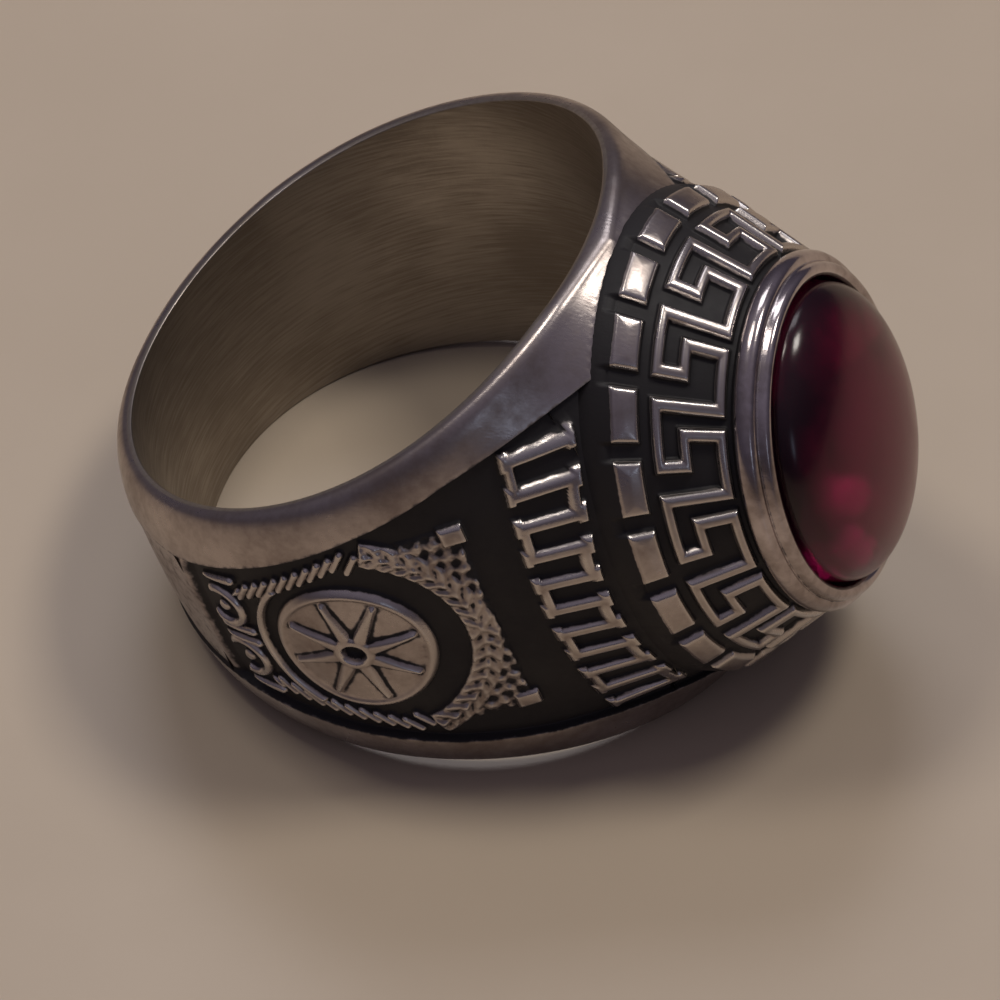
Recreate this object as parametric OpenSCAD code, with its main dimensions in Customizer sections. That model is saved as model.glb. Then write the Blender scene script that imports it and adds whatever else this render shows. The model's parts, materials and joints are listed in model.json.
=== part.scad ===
/* [Band] */
// Finger hole across
bore_d = 19.8; // [15:0.1:23]
// Width of the band at the back, along the finger
back_width = 7.8; // [5:0.1:10]
// Width of the band at each side
side_width = 12.8; // [9:0.1:16]
// Width of the band under the head
head_width = 19.7; // [15:0.1:23]
// How far the rims dip between side and head, which draws the shoulders in
rim_dip = 0.55; // [0:0.05:1]
// Thickness of the band at the back
back_wall = 1.0; // [0.8:0.1:2.5]
// Thickness of the band at each side
side_wall = 1.4; // [1:0.1:2.5]

/* [Head] */
// Height of the head's oval edge above the finger's axis
head_edge = 11.9; // [11.5:0.1:14]
// Length of the head's oval, along the finger
head_long = 19.1; // [14:0.1:19.5]
// Width of the head's oval, across the finger
head_wide = 15.9; // [12:0.1:19]
// Height of the bezel's foot above the finger's axis
bezel_foot = 15.5; // [13:0.1:18]
// Height of the bezel's rim above the finger's axis
bezel_rim = 16.6; // [15:0.1:20]
// Wall of the bezel round the stone
bezel_wall = 0.95; // [0.7:0.05:1.5]

/* [Stone] */
// Length of the oval stone, along the finger
stone_long = 12; // [8:0.5:14]
// Width of the oval stone, across the finger
stone_wide = 10; // [6:0.5:12]
// Height of the stone's dome above the bezel
dome_rise = 2.0; // [1:0.1:4]
// Depth of the stone below the bezel's rim
stone_depth = 4.6; // [3:0.1:5]
// Gap between the stone and its seat
stone_gap = 0.06; // [0.04:0.01:0.12]
// Facets round the stone's underside
stone_facets = 16; // [8:4:24]

/* [Relief] */
// Depth of the side panels and of the zone round the stone
panel_depth = 0.35; // [0.1:0.05:0.5]
// Height of the relief above the panels' ground
relief = 0.35; // [0.1:0.05:0.6]
// Units of the key pattern round the stone
key_units = 14; // [8:1:20]
// Bars in the border round the head
border_bars = 20; // [12:1:28]
// Bars in the ladder on each shoulder
shoulder_bars = 11; // [7:2:15]
// Rays of the star in each medallion
star_rays = 8; // [5:1:12]

/* [Hidden] */

// The ring is drawn round the Z axis, with its head towards +X, and laid on its side at the end.

bore_r = bore_d / 2;
edge_r = bore_r + 0.2;
side_r = bore_r + side_wall;
back_r = bore_r + back_wall;
half_long = head_long / 2;
half_wide = head_wide / 2;

// Height of a rim over the middle plane at x = edge_r * c, as a cubic in c
rim_spare = 0.1;
rim_mean = (head_width / 2 + rim_spare + back_width / 2) / 2;
rim_slope = rim_mean - back_width / 2;
function free_rim(c) = side_width / 2 + rim_slope * c
    + (rim_mean - side_width / 2) * c * c - rim_dip * c * (1 - c * c);

// Both rims are ground flat on one plane, which touches the head's end and the back
rest_slope = (head_width - back_width + 0.1) / 4;
function half_width(a, r = edge_r) = min(free_rim(cos(a)), head_width / 2 - rest_slope * (1 - cos(a) * r / edge_r));
rest_tilt = atan(rest_slope / edge_r);

// Radius of the outside at angle a and height z: flat under the head, a straight flank from the
// head's oval edge to the side, and round behind it
deck = head_edge - 0.25;
function oval_reach(z) = half_wide * sqrt(max(0, 1 - pow(z / half_long, 2)));
function outer_r(a, z) =
    let (reach = oval_reach(z), corner = atan2(reach, deck),
         touch = corner + acos(side_r / sqrt(deck * deck + reach * reach)))
    a < corner ? deck / cos(a) :
    a < touch ? side_r / cos(a - touch) :
    side_r + (back_r - side_r) * max(0, a - 90) / 90;
function fullness(a) = 2.6 + 1.6 * pow(max(0, 60 - a) / 60, 2);
function full_r(a, z) = let (s = abs(z) / half_width(a), p = fullness(abs(a)))
    edge_r + (outer_r(abs(a), z) - edge_r) * pow(max(0, 1 - pow(s, p)), 1 / p);

// The sunk panels: their reach across the band, as a share of its half width
function panel_share(a) = lookup(abs(a), [[20, 0.8], [55, 0.8], [75, 0.76], [90, 0.71], [118, 0.6]]);
panel_end = 118;
back_sink = 0.12;
function sink(a) = abs(a) < panel_end ? panel_depth : back_sink;
function ground_r(a, z) = full_r(a, z) - sink(a);
function on_ground(a, z, lift) = let (r = ground_r(a, z) + lift) [r * cos(a), r * sin(a), z];

function flat(rows) = [for (row = rows) for (p = row) p];

// Faces of a skin through equal rows of points, each row a loop, closed into a ring or capped
function skin_faces(rows, n, ring) = concat(
    [for (i = [0 : rows - (ring ? 1 : 2)]) for (j = [0 : n - 1])
        let (i2 = (i + 1) % rows, j2 = (j + 1) % n)
        each [[i * n + j, i * n + j2, i2 * n + j2], [i * n + j, i2 * n + j2, i2 * n + j]]],
    ring ? [] : [[for (j = [n - 1 : -1 : 0]) j], [for (j = [0 : n - 1]) (rows - 1) * n + j]]);

module skin(rows, ring) {
    polyhedron(flat(rows), skin_faces(len(rows), len(rows[0]), ring));
}

// Band

half_angles = [for (a = [10 : 10 : 30]) a, for (a = [35 : 5 : 60]) a, for (a = [67.5 : 7.5 : 120]) a,
    for (a = [132 : 12 : 168]) a];
band_angles = concat([180], [for (i = [len(half_angles) - 1 : -1 : 0]) half_angles[i]], [0],
    [for (a = half_angles) -a]);
rim_shares = [0.985, 0.94, 0.88];
floor_shares = [0.66, 0.33];
border_step = 0.1;

inner_r = bore_r - 0.5;

function half_section(a) =
    let (hw = half_width(a), edge = panel_share(a) * hw, floor_z = edge - border_step)
    concat([[inner_r, half_width(a, inner_r)], [edge_r, hw]],
           [for (s = rim_shares) [full_r(a, s * hw), s * hw]],
           [[full_r(a, edge), edge], [ground_r(a, floor_z), floor_z]],
           [for (s = floor_shares) [ground_r(a, s * floor_z), s * floor_z]]);

function section(a) = let (up = half_section(a)) concat(
    up, [[ground_r(a, 0), 0]], [for (i = [len(up) - 1 : -1 : 0]) [up[i][0], -up[i][1]]]);

function band_row(a) = [for (p = section(a)) [p[0] * cos(a), p[0] * sin(a), p[1]]];

module band_blank() {
    skin([for (a = band_angles) band_row(a)], true);
}

// Head: a stack of ovals, each given by its height, half length and half width

oval_steps = 40;
function oval(x, long, wide) = [for (i = [0 : oval_steps - 1]) let (t = i * 360 / oval_steps)
    [x, wide * sin(t), long * cos(t)]];

module oval_stack(levels) {
    skin([for (l = levels) oval(l[0], l[1], l[2])], false);
}

foot_long = stone_long / 2 + bezel_wall;
foot_wide = stone_wide / 2 + bezel_wall;

// The slope from the head's oval edge (q = 0) to the bezel's foot (q = 1), at angle t
slope_lean = [0.6, 0.8];
function on_slope(t, q, lift) = [
    head_edge + (bezel_foot - head_edge) * q + lift * slope_lean[0],
    (half_wide + (foot_wide - half_wide) * q + lift * slope_lean[1]) * sin(t),
    (half_long + (foot_long - half_long) * q + lift * slope_lean[1]) * cos(t)];

function stack_level(x, inset, long = half_long, wide = half_wide) = [x, long - inset, wide - inset];

module head_blank() {
    down = panel_depth * slope_lean[0];
    inward = panel_depth * slope_lean[1];
    foot = [foot_long, foot_wide];
    oval_stack([
        stack_level(bore_r - 1, 0.1),
        stack_level(head_edge - 0.5, 0),
        stack_level(head_edge - down, inward),
        stack_level(bezel_foot - down, inward, foot[0], foot[1]),
        stack_level(bezel_foot, 0.05, foot[0], foot[1]),
        stack_level(bezel_foot + 0.35, 0, foot[0], foot[1]),
        stack_level(bezel_foot + 0.65, 0.15, foot[0], foot[1]),
        stack_level(bezel_foot + 0.7, 0.32, foot[0], foot[1]),
        stack_level(bezel_rim - 0.15, 0.4, foot[0], foot[1]),
        stack_level(bezel_rim, 0.6, foot[0], foot[1])]);
}

// A block on four corners, each a pair that the given points put at a low and a high level
module block(low, high) {
    polyhedron(concat(low, high), [[3, 2, 1, 0], [4, 5, 6, 7], [0, 1, 5, 4], [1, 2, 6, 5], [2, 3, 7, 6], [3, 0, 4, 7]]);
}

root = -0.15;

module slope_block(t0, t1, q0, q1, lift) {
    corners = [[t0, q0], [t1, q0], [t1, q1], [t0, q1]];
    block([for (c = corners) on_slope(c[0], c[1], root - panel_depth)],
          [for (c = corners) on_slope(c[0], c[1], lift)]);
}

module head_border() {
    pitch = 360 / border_bars;
    for (i = [0 : border_bars - 1])
        slope_block((i + 0.12) * pitch, (i + 0.88) * pitch, -0.02, 0.2, 0);
}

// One unit of the key pattern as strokes from corner to corner, [along, up]
key_strokes = [[[0, 0], [0, 1]], [[0, 1], [0.7, 1]], [[0.7, 0.42], [0.7, 1]],
               [[0.36, 0.42], [0.7, 0.42]], [[0.36, 0], [0.36, 0.42]], [[0.36, 0], [1, 0]]];
// Strokes up the slope end a little past the strokes along it, and stand a little higher
key_half_up = [0.085, 0.13];
key_half_along = [0.04, 0.1];
along_lift = -0.04;
key_from = 0.36;
key_to = 0.89;
key_turn = 0.38;

module key_pattern() {
    pitch = 360 / key_units;
    for (i = [key_turn : key_units - 1 + key_turn]) for (s = key_strokes) {
        up = s[0][0] == s[1][0];
        start = s[0] - (up ? key_half_up : key_half_along);
        stop = s[1] + (up ? key_half_up : key_half_along);
        slope_block((i + start[0]) * pitch, (i + stop[0]) * pitch,
                    key_from + (key_to - key_from) * start[1], key_from + (key_to - key_from) * stop[1],
                    up ? 0 : along_lift);
    }
}

// Relief on the side panels, for the side at angle + 90

module ground_block(a0, a1, z0, z1, lift) {
    corners = [[a0, z0], [a0, z1], [a1, z1], [a1, z0]];
    block([for (c = corners) on_ground(c[0], c[1], root)],
          [for (c = corners) on_ground(c[0], c[1], lift)]);
}

// A ribbon on the ground along points given as [angle, height], with its half width in millimetres
function turned(p, q, w) = let (d = [(q[0] - p[0]) * side_r * PI / 180, q[1] - p[1]], n = norm(d))
    [-d[1] / n * w * 180 / (PI * side_r), d[0] / n * w];
function path_side(path, i, w) = turned(path[max(i - 1, 0)], path[min(i + 1, len(path) - 1)], w);

module ribbon(path, w, lift, base = root) {
    skin([for (i = [0 : len(path) - 1])
        let (s = path_side(path, i, w), p = path[i] + s, q = path[i] - s)
        [on_ground(p[0], p[1], base), on_ground(q[0], q[1], base),
         on_ground(q[0], q[1], lift), on_ground(p[0], p[1], lift)]], false);
}

function arc(centre, r, from, to, steps) = [for (i = [0 : steps]) let (t = from + (to - from) * i / steps)
    centre + [-r * cos(t) * 180 / (PI * side_r), r * sin(t)]];

middle = [83.5, 0];
medallion_r = 3.1;
boss_r = 0.6;
ray_from = 0.95;
ray_to = 2.45;
ray_half = 0.14;
ray_turn = 11;
star_lift = relief + 0.02;
star_base = 0.05;

function circle_on_ground(centre, r, lift, steps) = [for (p = arc(centre, r, 0, 360 - 360 / steps, steps - 1))
    on_ground(p[0], p[1], lift)];

module disc(centre, r, lift, steps, base = root) {
    skin(concat([circle_on_ground(centre, r, base, steps)],
                [for (share = [1, 0.6, 0.2]) circle_on_ground(centre, r * share, lift, steps)]), false);
}

module medallion() {
    disc(middle, medallion_r, relief - 0.1, 20);
    disc(middle, boss_r, star_lift, 10, star_base);
    for (i = [0 : star_rays - 1])
        let (t = i * 360 / star_rays + ray_turn)
        ribbon([arc(middle, ray_from, t, t, 1)[0], arc(middle, ray_to, t, t, 1)[0]], ray_half, star_lift, star_base);
}

// The wreath in front of the medallion: an arc, and a foot at each end of it
wreath_r = 4.8;
wreath_half = 0.6;
wreath_reach = 65;
foot_angles = [54.5, 58.8];
foot_at = 4.3;
foot_half = 0.4;

module wreath() {
    ribbon(arc(middle, wreath_r, -wreath_reach, wreath_reach, 8), wreath_half, relief - 0.05);
    for (up = [-1, 1])
        ground_block(foot_angles[0], foot_angles[1], up * foot_at - foot_half, up * foot_at + foot_half, relief - 0.08);
}

// The ladder follows the head's oval
function ladder_from(z) = 38 - 0.19 * z * z;
function ladder_to(z) = 48.5 - 0.11 * z * z;
ladder_half = 0.28;

ladder_reach = 6.3;
post_width = 2;
post_inset = 0.4;

module shoulder_ladder() {
    pitch = 2 * ladder_reach / (shoulder_bars - 1);
    for (i = [0 : shoulder_bars - 1]) {
        z = -ladder_reach + i * pitch;
        ground_block(ladder_from(z), ladder_to(z), z - ladder_half, z + ladder_half, relief);
        if (i > 0)
            let (mid = z - pitch / 2,
                 a = i % 2 == 0 ? ladder_from(mid) + post_inset : ladder_to(mid) - post_width)
            ground_block(a, a + post_width, z - pitch, z, relief + along_lift);
    }
}

// Behind the medallion: an arc round it, and a curl and slanted strokes on each half
frame_r = 3.75;
frame_from = 138;
curl_at = [110.3, 1.35];
curl_r = 0.85;
trim_half = 0.17;
stroke_start = [88, 4.15];
stroke_step = [3.4, -0.27];
stroke_run = [2.6, -0.75];
stroke_half = 0.15;

module back_scrolls() {
    ribbon(arc(middle, frame_r, frame_from, 360 - frame_from, 6), trim_half, relief - 0.05);
    for (up = [-1, 1]) {
        ribbon([for (p = arc(curl_at, curl_r, -150, 120, 8)) [p[0], up * p[1]]], trim_half, relief - 0.1);
        for (i = [0 : 3])
            let (start = stroke_start + i * stroke_step, stop = start + stroke_run)
            ribbon([[start[0], up * start[1]], [stop[0], up * stop[1]]], stroke_half, relief - 0.15);
    }
}

module side_relief() {
    medallion();
    wreath();
    shoulder_ladder();
    back_scrolls();
}

// Stone: a girdle, a smooth dome over it and a faceted underside

girdle_x = bezel_rim - 0.7;
girdle_foot = girdle_x - 0.3;
culet_x = bezel_rim - stone_depth;
culet_share = 0.12;
lip_x = bezel_rim - 0.1;
lip_share = 0.985;
dome_steps = 8;
stone_steps = 3 * stone_facets;

// The facets are crowned a little, as polishing leaves them
crown = 0.9;
function facet_share(t) = let (w = 360 / stone_facets, flat = cos(w / 2) / cos(t - w * floor(t / w) - w / 2))
    1 + crown * (flat - 1);
function stone_oval(x, share, cut) = [for (i = [0 : stone_steps - 1])
    let (t = i * 360 / stone_steps, f = share * (cut ? facet_share(t) : 1))
    [x, (stone_wide / 2 - stone_gap) * f * sin(t), (stone_long / 2 - stone_gap) * f * cos(t)]];

stone_rows = concat(
    [stone_oval(culet_x, culet_share, true), stone_oval(girdle_foot, 1, true),
     stone_oval(girdle_x, 1, false), stone_oval(lip_x, lip_share, false)],
    [for (i = [1 : dome_steps]) let (t = 90 * i / (dome_steps + 0.6))
        stone_oval(lip_x + (bezel_rim + dome_rise - lip_x) * sin(t), lip_share * cos(t), false)]);

module stone() {
    color("darkred") lay() skin(stone_rows, false);
}

module stone_seat() {
    oval_stack([
        [culet_x - 2 * stone_gap, stone_long / 2 * culet_share + 0.1, stone_wide / 2 * culet_share + 0.1],
        [girdle_foot - 2 * stone_gap, stone_long / 2, stone_wide / 2],
        [bezel_rim - 0.2, stone_long / 2, stone_wide / 2],
        [bezel_rim + 1, stone_long / 2, stone_wide / 2]]);
}

// The whole casting, brought to its stated width along the finger
groove_depth = 0.8;
groove_width = 0.35;

module casting() {
    resize([0, 0, head_width]) difference() {
        union() {
            difference() {
                band_blank();
                oval_stack([stack_level(head_edge - groove_depth, -groove_width),
                            stack_level(head_edge + 2, -groove_width)]);
            }
            head_blank();
            head_border();
            key_pattern();
            side_relief();
            mirror([0, 1, 0]) side_relief();
        }
        stone_seat();
    }
}

module ring_body() {
    color("lightgray") lay() difference() {
        casting();
        cylinder(r = bore_r, h = head_width + 2, center = true, $fn = 128);
    }
}

// Lays the ring on its side as it rests, with the middle of its footprint at the origin
function laid_x(p) = p[0] * cos(rest_tilt) - p[2] * sin(rest_tilt);
rim_points = oval(bezel_rim - 0.15, foot_long - 0.4, foot_wide - 0.4);
laid_front = max([for (p = concat(flat(stone_rows), rim_points)) laid_x(p)]);
laid_back = min([for (p = band_row(180)) laid_x(p)]);
rest_height = (head_width / 2 - rest_slope) * cos(rest_tilt);

module lay() {
    translate([-(laid_front + laid_back) / 2, 0, rest_height]) rotate([0, -rest_tilt, 0]) children();
}

ring_body();
stone();
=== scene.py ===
"""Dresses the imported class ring: a cast band with relief panels, an oval head and a domed red stone.

Shapes are worked out in millimetres about the ring's own axes, with the finger along z and the head
towards +x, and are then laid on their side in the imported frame, in metres.
"""

from __future__ import annotations

import json
import logging
import math
from collections.abc import Callable, Sequence
from dataclasses import dataclass, field
from enum import Enum

import bpy
import numpy as np
from mathutils import Matrix, Vector


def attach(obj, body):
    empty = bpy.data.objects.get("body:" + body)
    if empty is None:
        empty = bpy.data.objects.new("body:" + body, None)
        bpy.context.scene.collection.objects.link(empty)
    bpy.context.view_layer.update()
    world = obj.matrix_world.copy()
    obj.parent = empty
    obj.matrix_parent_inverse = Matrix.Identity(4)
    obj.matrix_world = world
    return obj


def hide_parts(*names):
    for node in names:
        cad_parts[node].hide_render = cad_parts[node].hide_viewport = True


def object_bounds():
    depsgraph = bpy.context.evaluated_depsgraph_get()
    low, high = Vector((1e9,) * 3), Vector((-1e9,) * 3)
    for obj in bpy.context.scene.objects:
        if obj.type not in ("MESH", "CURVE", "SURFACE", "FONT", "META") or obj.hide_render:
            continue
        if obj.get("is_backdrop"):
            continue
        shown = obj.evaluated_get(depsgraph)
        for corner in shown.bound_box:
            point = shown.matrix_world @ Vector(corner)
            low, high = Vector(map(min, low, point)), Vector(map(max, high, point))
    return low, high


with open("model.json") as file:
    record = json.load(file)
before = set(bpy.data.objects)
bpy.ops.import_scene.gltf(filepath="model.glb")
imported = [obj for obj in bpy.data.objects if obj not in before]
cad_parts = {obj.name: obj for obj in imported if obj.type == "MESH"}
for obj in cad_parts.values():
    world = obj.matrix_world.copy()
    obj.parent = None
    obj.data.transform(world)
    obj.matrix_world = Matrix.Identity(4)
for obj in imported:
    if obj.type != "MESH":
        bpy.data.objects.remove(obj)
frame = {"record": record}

LOG = logging.getLogger("class_ring")
Array = np.ndarray
Colour = tuple[float, float, float, float]
Material = bpy.types.Material
Socket = bpy.types.NodeSocket
MM = 0.001
HEAD_REACH = 32.0
PANEL_REACH = 120.0


class Side(Enum):
    """A side of the band, by the sign of its angle from the head."""

    NEAR = -1
    FAR = 1


# Numbers and curves


def smooth(value: Array, low: float, high: float) -> Array:
    """The smooth step that rises from 0 at low to 1 at high.

    Args:
        value: any array.
        low: where the step starts.
        high: where it ends.

    Returns:
        3 s^2 - 2 s^3, where s is the clipped share of the way from low to high.
    """
    share = np.clip((value - low) / (high - low), 0.0, 1.0)
    return share * share * (3.0 - 2.0 * share)


def plateau(distance: Array, height: float, bevel: float, crown: float = 0.0) -> Array:
    """Raised ground with a rounded edge and a slightly domed top.

    Args:
        distance: signed distance to the outline, negative inside, in mm.
        height: height of the top.
        bevel: width of the rounded edge, a fifth of which lies outside the outline.
        crown: how much of the height rises slowly towards the middle.

    Returns:
        The rest of the height times s (2 - s) times the smooth step of 2 s, where s is the share of the
        bevel that lies behind a point, plus the crown times one less a falling exponential of the way in.
    """
    share = np.clip(0.2 - distance / bevel, 0.0, 1.0)
    rise = 1.0 - np.exp(-np.clip(-distance, 0.0, None) / 0.25)
    return (height - crown) * share * (2.0 - share) * smooth(share, -0.15, 0.5) + crown * rise


def bell(distance: Array, width: float) -> Array:
    """A bell curve: 1 at no distance, and 1/e where the distance is the width."""
    return np.exp(-(distance / width) ** 2)


def segment_distance(u: Array, v: Array, start: Sequence[float], stop: Sequence[float]) -> Array:
    """Distance from each point (u, v) to the straight line from start to stop."""
    along = np.array(stop, float) - np.array(start, float)
    share = ((u - start[0]) * along[0] + (v - start[1]) * along[1]) / float(along @ along)
    share = np.clip(share, 0.0, 1.0)
    return np.hypot(u - start[0] - share * along[0], v - start[1] - share * along[1])


def box_distance(u: Array, v: Array, half_u: Array | float, half_v: Array | float) -> Array:
    """Signed distance to a rectangle about (0, 0), by its larger overshoot."""
    return np.maximum(np.abs(u) - half_u, np.abs(v) - half_v)


def hashed(seed: Array) -> Array:
    """A repeatable number from 0 to 1 for each whole number: the fraction of a large sine."""
    wave = np.sin(seed * 12.9898 + 4.1414) * 43758.5453
    return wave - np.floor(wave)


def value_noise(x: Array, y: Array) -> Array:
    """Smooth noise from 0 to 1: the hashed corners of each unit square, blended by smooth steps."""
    cell_x, cell_y = np.floor(x), np.floor(y)
    blend_x, blend_y = smooth(x - cell_x, 0.0, 1.0), smooth(y - cell_y, 0.0, 1.0)

    def corner(dx: int, dy: int) -> Array:
        """The hashed value of one corner of each point's square."""
        return hashed((cell_x + dx) * 57.0 + (cell_y + dy) * 113.0)

    low = corner(0, 0) * (1.0 - blend_x) + corner(1, 0) * blend_x
    high = corner(0, 1) * (1.0 - blend_x) + corner(1, 1) * blend_x
    return low * (1.0 - blend_y) + high * blend_y


def blurred(grid: Array, rows: int, columns: int, wrap: bool) -> Array:
    """The mean of each value's neighbourhood, as a running mean along each axis in turn.

    Args:
        grid: values by row and column.
        rows: reach of the mean along the rows.
        columns: reach of the mean along the columns.
        wrap: whether the columns close into a ring.

    Returns:
        An array of the same shape.
    """
    out = grid
    for axis, reach in ((0, rows), (1, columns)):
        pad = [(0, 0), (0, 0)]
        pad[axis] = (reach + 1, reach)
        padded = np.pad(out, pad, mode="wrap" if wrap and axis == 1 else "edge")
        total = np.cumsum(padded, axis=axis)
        width = 2 * reach + 1
        out = (np.take(total, range(width, total.shape[axis]), axis)
               - np.take(total, range(total.shape[axis] - width), axis)) / width
    return out


def hollows(lift: Array, wrap: bool) -> Array:
    """How far each point lies under its neighbourhood, from 0 to 0.85: where oxide stays in the corners."""
    return np.clip((blurred(lift, 5, 5, wrap) - lift) * 14.0, 0.0, 0.85)


def ridges(lift: Array, wrap: bool) -> Array:
    """How far each point lies over its neighbourhood, from 0 to 1: where the metal is worn bright."""
    return np.clip((lift - blurred(lift, 3, 3, wrap)) * 14.0, 0.0, 1.0)


# Meshes


@dataclass(frozen=True)
class Pose:
    """Where the ring's own axes lie in the frame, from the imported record's finger hole."""

    centre: Array
    tilt: float
    bore: float

    @classmethod
    def from_record(cls, record: dict) -> Pose:
        """The pose that the record's first mount states."""
        hole = record["mounts"][0]
        x, _, z = hole["axis"]
        return cls(np.array(hole["pos_m"]) / MM, math.atan2(-x, z), hole["dims"]["r_mm"])

    def turned(self, vectors: Array) -> Array:
        """Vectors about the ring's own axes, turned about y by the tilt."""
        cos, sin = math.cos(self.tilt), math.sin(self.tilt)
        x, y, z = vectors[..., 0], vectors[..., 1], vectors[..., 2]
        return np.stack([cos * x - sin * z, y, sin * x + cos * z], axis=-1)

    def place(self, points: Array) -> Array:
        """Points about the ring's own axes, turned and moved to the frame, in metres."""
        return (self.turned(points) + self.centre) * MM


@dataclass
class Surface:
    """A closed surface as a grid of points, with values over it.

    Attributes:
        points: rows by columns by 3, in mm about the ring's own axes. The columns close into a ring.
        closed_rows: whether the rows close into a ring too; otherwise a pole closes each end.
        values: named values over the points, each rows by columns.
        finish: the material slot of each face, in a shape that spreads over the grid of faces.
        beyond: rows at each end that only lead the shading on to the next piece, and aren't in the mesh.
        faceted: number of rows of faces, from the first, that are shaded flat.
    """

    points: Array
    closed_rows: bool
    values: dict[str, Array] = field(default_factory=dict)
    finish: Array | int = 0
    beyond: int = 0
    faceted: int = 0

    def normals(self) -> Array:
        """The normal at each point: the cross products of the diagonals of the faces round it, summed."""
        mode = "wrap" if self.closed_rows else "edge"
        grid = np.pad(self.points, ((1, 1), (0, 0), (0, 0)), mode=mode)
        grid = np.pad(grid, ((0, 0), (1, 1), (0, 0)), mode="wrap")
        face = np.cross(grid[1:, 1:] - grid[:-1, :-1], grid[1:, :-1] - grid[:-1, 1:])
        total = face[1:, 1:] + face[:-1, 1:] + face[1:, :-1] + face[:-1, :-1]
        return total / np.maximum(np.linalg.norm(total, axis=-1, keepdims=True), 1e-12)

    def trimmed(self) -> Surface:
        """The surface without its rows beyond each end."""
        keep = slice(self.beyond, len(self.points) - self.beyond)
        values = {key: grid[keep] for key, grid in self.values.items()}
        return Surface(self.points[keep], self.closed_rows, values, self.finish, 0, self.faceted)

    def quads(self) -> Array:
        """Corners of the four-sided faces, row by row."""
        rows, columns = self.points.shape[:2]
        count = rows if self.closed_rows else rows - 1
        i, j = np.meshgrid(np.arange(count), np.arange(columns), indexing="ij")
        below, beside = (i + 1) % rows, (j + 1) % columns
        return np.stack([i * columns + j, i * columns + beside,
                         below * columns + beside, below * columns + j], axis=-1).reshape(-1, 4)

    def fans(self) -> Array:
        """Corners of the triangles that close each end onto its pole, where there are poles."""
        if self.closed_rows:
            return np.zeros((0, 3), int)
        rows, columns = self.points.shape[:2]
        j = np.arange(columns)
        beside, last = (j + 1) % columns, (rows - 1) * columns
        pole = rows * columns
        first = np.stack([np.full(columns, pole), beside, j], axis=-1)
        final = np.stack([np.full(columns, pole + 1), last + j, last + beside], axis=-1)
        return np.vstack([first, final])

    def with_poles(self, grid: Array) -> Array:
        """Values over the points as one list, and after them the mean of each end row, for its pole."""
        flat = grid.reshape(-1, *grid.shape[2:])
        return flat if self.closed_rows else np.concatenate([flat, grid[[0, -1]].mean(axis=1)])

    def piece(self, name: str, pose: Pose, materials: Sequence[Material]) -> bpy.types.Object:
        """Makes the surface a Blender object whose faces point outwards.

        Args:
            name: name of the piece.
            pose: where the ring lies.
            materials: the piece's materials, in the order that finish counts.

        Returns:
            The object, at the origin, with its place in its mesh.
        """
        kept = self.trimmed()
        rows, columns = kept.points.shape[:2]
        points, quads, fans = kept.with_poles(kept.points), kept.quads(), kept.fans()
        normals = kept.with_poles(self.normals()[self.beyond:self.beyond + rows])
        if signed_volume(points, quads, fans) < 0:
            quads, fans, normals = quads[:, ::-1], fans[:, ::-1], -normals
        mesh = new_mesh(name, pose.place(points), quads, fans)
        slots = np.broadcast_to(self.finish, (len(quads) // columns, columns)).ravel()
        slots = np.concatenate([slots, np.zeros(len(fans), int)])
        mesh.polygons.foreach_set("material_index", slots.astype(np.int32))
        mesh.polygons.foreach_set("use_smooth", np.arange(len(slots)) >= self.faceted * columns)
        mesh.update(calc_edges=True)
        for key, grid in kept.values.items():
            layer = mesh.attributes.new(key, "FLOAT", "POINT")
            layer.data.foreach_set("value", kept.with_poles(grid).astype(np.float32))
        for material in materials:
            mesh.materials.append(material)
        mesh.validate()
        if not self.faceted:
            mesh.normals_split_custom_set_from_vertices(pose.turned(normals).tolist())
        obj = bpy.data.objects.new(name, mesh)
        bpy.context.scene.collection.objects.link(obj)
        LOG.info("%s: %d faces", name, len(slots))
        return obj


def signed_volume(points: Array, quads: Array, fans: Array) -> float:
    """Six times the volume inside the faces, positive where they point outwards.

    Args:
        points: corners, one row each.
        quads: four corners a face.
        fans: three corners a face.

    Returns:
        The sum of the triple products of each triangle's corners.
    """
    triangles = np.vstack([quads[:, [0, 1, 2]], quads[:, [0, 2, 3]], fans])
    a, b, c = (points[triangles[:, k]] for k in range(3))
    return float(np.einsum("ij,ij->i", a, np.cross(b, c)).sum())


def new_mesh(name: str, points: Array, quads: Array, fans: Array) -> bpy.types.Mesh:
    """A mesh of the four-sided faces and then the triangles, on points in metres."""
    corners = np.concatenate([quads.ravel(), fans.ravel()])
    totals = np.repeat([4, 3], [len(quads), len(fans)])
    mesh = bpy.data.meshes.new(name)
    mesh.vertices.add(len(points))
    mesh.vertices.foreach_set("co", points.astype(np.float32).ravel())
    mesh.loops.add(len(corners))
    mesh.loops.foreach_set("vertex_index", corners.astype(np.int32))
    mesh.polygons.add(len(totals))
    mesh.polygons.foreach_set("loop_start", (np.cumsum(totals) - totals).astype(np.int32))
    mesh.polygons.foreach_set("loop_total", totals.astype(np.int32))
    return mesh


# The casting's shape, as the part's source has it


@dataclass(frozen=True)
class Oval:
    """An oval about the ring's x axis: half its length along the finger and half its width across."""

    half_long: float
    half_wide: float

    def point(self, turn: Array, height: Array | float, inset: Array | float = 0.0) -> Array:
        """Points at an angle turn from the finger's direction, at a height, inset from the oval, in mm."""
        y = (self.half_wide - inset) * np.sin(turn)
        z = (self.half_long - inset) * np.cos(turn)
        x, y, z = np.broadcast_arrays(height, y, z)
        return np.stack([x, y, z], axis=-1).astype(float)

    def distance(self, y: Array, z: Array) -> Array:
        """Distance outside the oval, to first order: (k - 1) k over the slope of k squared."""
        k = np.hypot(y / self.half_wide, z / self.half_long)
        slope = np.hypot(y / self.half_wide**2, z / self.half_long**2)
        return (k - 1.0) * k / np.maximum(slope, 1e-6)


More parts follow.
